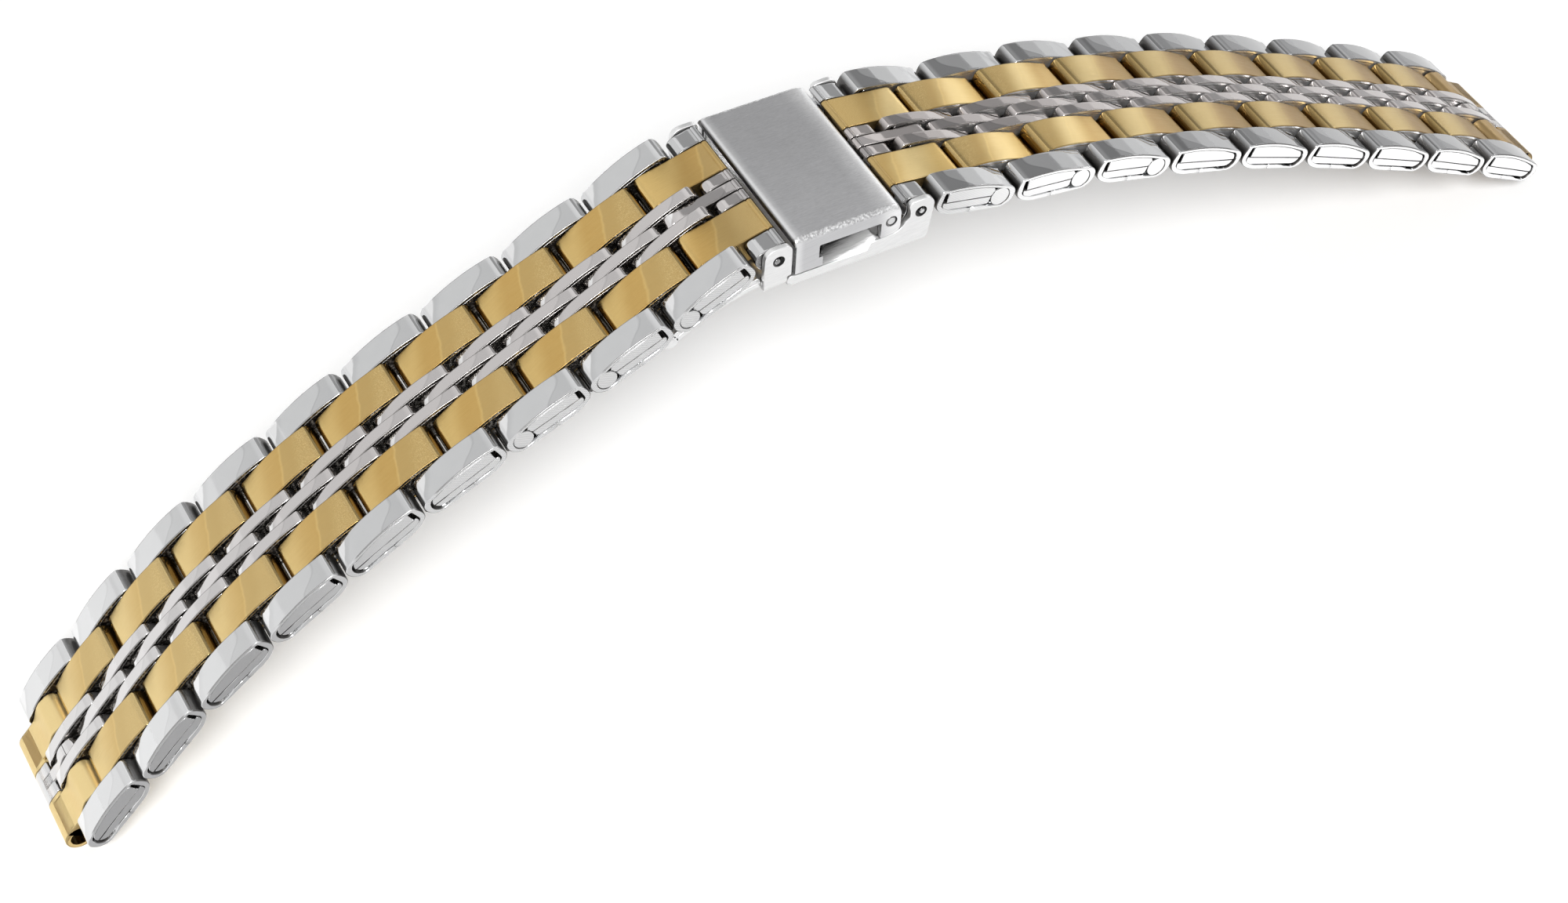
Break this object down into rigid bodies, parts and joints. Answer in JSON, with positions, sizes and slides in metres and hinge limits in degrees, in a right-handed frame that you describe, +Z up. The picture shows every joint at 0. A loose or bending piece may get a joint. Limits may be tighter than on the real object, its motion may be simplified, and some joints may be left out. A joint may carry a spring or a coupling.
{
  "type": "metal watch bracelet",
  "caption": "Two-tone watch bracelet of folded metal links with a folding clasp, a hinged cover and tube ends for a watch's spring bars.",
  "frame": {"origin": "midway between the two lug tubes, on the surface that the arched bracelet stands on", "axes": "+X along the bracelet towards the strand at the cover's hinge, +Y across the band, +Z up towards the cover"},
  "size_m": [0.1624, 0.018, 0.04],
  "materials": {
    "steel": "polished",
    "steel_satin": "satin, brushed lengthwise",
    "gold": "gold-coloured plating on steel, brushed lengthwise; the slim middle column of an inner row is plain steel"
  },
  "bodies": {
    "clasp_base": {"clasp_base": "steel_satin", "spring_bar_right": "steel", "fold_pin": "steel"},
    "cover": {"cover": "steel_satin", "cover_rivets": "steel"},
    "fold_blade": {"fold_blade": "steel_satin", "spring_bar_left": "steel"},
    "end_left": {"end_gold_left": "gold", "end_steel_left": "steel"},
    "outer_left_1": {"outer_row_left_1": "steel"},
    "inner_left_2": {"inner_row_left_2": "gold"},
    "outer_left_2": {"outer_row_left_2": "steel"},
    "inner_left_3": {"inner_row_left_3": "gold"},
    "outer_left_3": {"outer_row_left_3": "steel"},
    "inner_left_4": {"inner_row_left_4": "gold"},
    "outer_left_4": {"outer_row_left_4": "steel"},
    "inner_left_5": {"inner_row_left_5": "gold"},
    "outer_left_5": {"outer_row_left_5": "steel"},
    "inner_left_6": {"inner_row_left_6": "gold"},
    "outer_left_6": {"outer_row_left_6": "steel"},
    "inner_left_7": {"inner_row_left_7": "gold"},
    "outer_left_7": {"outer_row_left_7": "steel"},
    "inner_left_8": {"inner_row_left_8": "gold"},
    "outer_left_8": {"outer_row_left_8": "steel"},
    "inner_left_9": {"inner_row_left_9": "gold"},
    "outer_left_9": {"outer_row_left_9": "steel"},
    "lug_left": {"lug_gold_left": "gold", "lug_steel_left": "steel"},
    "end_right": {"end_gold_right": "gold", "end_steel_right": "steel"},
    "outer_right_1": {"outer_row_right_1": "steel"},
    "inner_right_2": {"inner_row_right_2": "gold"},
    "outer_right_2": {"outer_row_right_2": "steel"},
    "inner_right_3": {"inner_row_right_3": "gold"},
    "outer_right_3": {"outer_row_right_3": "steel"},
    "inner_right_4": {"inner_row_right_4": "gold"},
    "outer_right_4": {"outer_row_right_4": "steel"},
    "inner_right_5": {"inner_row_right_5": "gold"},
    "outer_right_5": {"outer_row_right_5": "steel"},
    "inner_right_6": {"inner_row_right_6": "gold"},
    "outer_right_6": {"outer_row_right_6": "steel"},
    "inner_right_7": {"inner_row_right_7": "gold"},
    "outer_right_7": {"outer_row_right_7": "steel"},
    "inner_right_8": {"inner_row_right_8": "gold"},
    "outer_right_8": {"outer_row_right_8": "steel"},
    "inner_right_9": {"inner_row_right_9": "gold"},
    "outer_right_9": {"outer_row_right_9": "steel"},
    "lug_right": {"lug_gold_right": "gold", "lug_steel_right": "steel"}
  },
  "joints": [
    {"name": "cover_hinge", "type": "hinge", "parent": "clasp_base", "child": "cover", "pos_m": [0.00362, 0, 0.03739], "axis": [0, 1, 0], "range_deg": [0, 65]},
    {"name": "fold_hinge", "type": "hinge", "parent": "clasp_base", "child": "fold_blade", "pos_m": [-0.01789, 0, 0.03303], "axis": [0, -1, 0], "range_deg": [0, 110]},
    {"name": "left_1", "type": "hinge", "parent": "fold_blade", "child": "end_left", "pos_m": [-0.00754, 0, 0.03855], "axis": [0, 1, 0], "range_deg": [-1, 14.5]},
    {"name": "left_2", "type": "hinge", "parent": "end_left", "child": "outer_left_1", "pos_m": [-0.01214, 0, 0.03796], "axis": [0, 1, 0], "range_deg": [-1, 14]},
    {"name": "left_3", "type": "hinge", "parent": "outer_left_1", "child": "inner_left_2", "pos_m": [-0.01627, 0, 0.03644], "axis": [0, 1, 0], "range_deg": [-1, 0.5]},
    {"name": "left_4", "type": "hinge", "parent": "inner_left_2", "child": "outer_left_2", "pos_m": [-0.02041, 0, 0.03496], "axis": [0, 1, 0], "range_deg": [-10.5, 0.5]},
    {"name": "left_5", "type": "hinge", "parent": "outer_left_2", "child": "inner_left_3", "pos_m": [-0.02457, 0, 0.03353], "axis": [0, 1, 0], "range_deg": [-10.5, 0.5]},
    {"name": "left_6", "type": "hinge", "parent": "inner_left_3", "child": "outer_left_3", "pos_m": [-0.02874, 0, 0.03213], "axis": [0, 1, 0], "range_deg": [-10.5, 0.5]},
    {"name": "left_7", "type": "hinge", "parent": "outer_left_3", "child": "inner_left_4", "pos_m": [-0.03293, 0, 0.03077], "axis": [0, 1, 0], "range_deg": [-9, 2]},
    {"name": "left_8", "type": "hinge", "parent": "inner_left_4", "child": "outer_left_4", "pos_m": [-0.03708, 0, 0.02933], "axis": [0, 1, 0], "range_deg": [-9, 2]},
    {"name": "left_9", "type": "hinge", "parent": "outer_left_4", "child": "inner_left_5", "pos_m": [-0.04121, 0, 0.02781], "axis": [0, 1, 0], "range_deg": [-7.5, 3.5]},
    {"name": "left_10", "type": "hinge", "parent": "inner_left_5", "child": "outer_left_5", "pos_m": [-0.04527, 0, 0.02612], "axis": [0, 1, 0], "range_deg": [-7.5, 3.5]},
    {"name": "left_11", "type": "hinge", "parent": "outer_left_5", "child": "inner_left_6", "pos_m": [-0.04926, 0, 0.02425], "axis": [0, 1, 0], "range_deg": [-9, 2]},
    {"name": "left_12", "type": "hinge", "parent": "inner_left_6", "child": "outer_left_6", "pos_m": [-0.05321, 0, 0.02231], "axis": [0, 1, 0], "range_deg": [-9, 2]},
    {"name": "left_13", "type": "hinge", "parent": "outer_left_6", "child": "inner_left_7", "pos_m": [-0.05712, 0, 0.02029], "axis": [0, 1, 0], "range_deg": [-7, 4]},
    {"name": "left_14", "type": "hinge", "parent": "inner_left_7", "child": "outer_left_7", "pos_m": [-0.06092, 0, 0.01808], "axis": [0, 1, 0], "range_deg": [-7, 4]},
    {"name": "left_15", "type": "hinge", "parent": "outer_left_7", "child": "inner_left_8", "pos_m": [-0.06461, 0, 0.01568], "axis": [0, 1, 0], "range_deg": [-6, 5]},
    {"name": "left_16", "type": "hinge", "parent": "inner_left_8", "child": "outer_left_8", "pos_m": [-0.06812, 0, 0.01303], "axis": [0, 1, 0], "range_deg": [-6, 5]},
    {"name": "left_17", "type": "hinge", "parent": "outer_left_8", "child": "inner_left_9", "pos_m": [-0.07145, 0, 0.01015], "axis": [0, 1, 0], "range_deg": [-9.5, 1.5]},
    {"name": "left_18", "type": "hinge", "parent": "inner_left_9", "child": "outer_left_9", "pos_m": [-0.07475, 0, 0.00724], "axis": [0, 1, 0], "range_deg": [-9.5, 1.5]},
    {"name": "left_19", "type": "hinge", "parent": "outer_left_9", "child": "lug_left", "pos_m": [-0.07803, 0, 0.0043], "axis": [0, 1, 0], "range_deg": [-8, 3]},
    {"name": "right_1", "type": "hinge", "parent": "clasp_base", "child": "end_right", "pos_m": [0.0066, 0, 0.03702], "axis": [0, 1, 0], "range_deg": [-8, 7]},
    {"name": "right_2", "type": "hinge", "parent": "end_right", "child": "outer_right_1", "pos_m": [0.01049, 0, 0.03611], "axis": [0, 1, 0], "range_deg": [-7.5, 3.5]},
    {"name": "right_3", "type": "hinge", "parent": "outer_right_1", "child": "inner_right_2", "pos_m": [0.01463, 0, 0.03462], "axis": [0, 1, 0], "range_deg": [-0.5, 13]},
    {"name": "right_4", "type": "hinge", "parent": "inner_right_2", "child": "outer_right_2", "pos_m": [0.01884, 0, 0.03336], "axis": [0, 1, 0], "range_deg": [-0.5, 13]},
    {"name": "right_5", "type": "hinge", "parent": "outer_right_2", "child": "inner_right_3", "pos_m": [0.02312, 0, 0.03232], "axis": [0, 1, 0], "range_deg": [-5, 6]},
    {"name": "right_6", "type": "hinge", "parent": "inner_right_3", "child": "outer_right_3", "pos_m": [0.02731, 0, 0.03098], "axis": [0, 1, 0], "range_deg": [-5, 6]},
    {"name": "right_7", "type": "hinge", "parent": "outer_right_3", "child": "inner_right_4", "pos_m": [0.0314, 0, 0.02935], "axis": [0, 1, 0], "range_deg": [-2, 9]},
    {"name": "right_8", "type": "hinge", "parent": "inner_right_4", "child": "outer_right_4", "pos_m": [0.03546, 0, 0.02767], "axis": [0, 1, 0], "range_deg": [-2, 9]},
    {"name": "right_9", "type": "hinge", "parent": "outer_right_4", "child": "inner_right_5", "pos_m": [0.0395, 0, 0.02593], "axis": [0, 1, 0], "range_deg": [-3, 8]},
    {"name": "right_10", "type": "hinge", "parent": "inner_right_5", "child": "outer_right_5", "pos_m": [0.04348, 0, 0.02406], "axis": [0, 1, 0], "range_deg": [-3, 8]},
    {"name": "right_11", "type": "hinge", "parent": "outer_right_5", "child": "inner_right_6", "pos_m": [0.0474, 0, 0.02205], "axis": [0, 1, 0], "range_deg": [-2, 9]},
    {"name": "right_12", "type": "hinge", "parent": "inner_right_6", "child": "outer_right_6", "pos_m": [0.05127, 0, 0.01996], "axis": [0, 1, 0], "range_deg": [-2, 9]},
    {"name": "right_13", "type": "hinge", "parent": "outer_right_6", "child": "inner_right_7", "pos_m": [0.0551, 0, 0.01779], "axis": [0, 1, 0], "range_deg": [-1, 10]},
    {"name": "right_14", "type": "hinge", "parent": "inner_right_7", "child": "outer_right_7", "pos_m": [0.05892, 0, 0.0156], "axis": [0, 1, 0], "range_deg": [-1, 10]},
    {"name": "right_15", "type": "hinge", "parent": "outer_right_7", "child": "inner_right_8", "pos_m": [0.06273, 0, 0.0134], "axis": [0, 1, 0], "range_deg": [-2, 9]},
    {"name": "right_16", "type": "hinge", "parent": "inner_right_8", "child": "outer_right_8", "pos_m": [0.0665, 0, 0.01113], "axis": [0, 1, 0], "range_deg": [-2, 9]},
    {"name": "right_17", "type": "hinge", "parent": "outer_right_8", "child": "inner_right_9", "pos_m": [0.07022, 0, 0.00879], "axis": [0, 1, 0], "range_deg": [-1.5, 9.5]},
    {"name": "right_18", "type": "hinge", "parent": "inner_right_9", "child": "outer_right_9", "pos_m": [0.07392, 0, 0.00641], "axis": [0, 1, 0], "range_deg": [-1.5, 9.5]},
    {"name": "right_19", "type": "hinge", "parent": "outer_right_9", "child": "lug_right", "pos_m": [0.0776, 0, 0.004], "axis": [0, 1, 0], "range_deg": [-3, 8]}
  ]
}
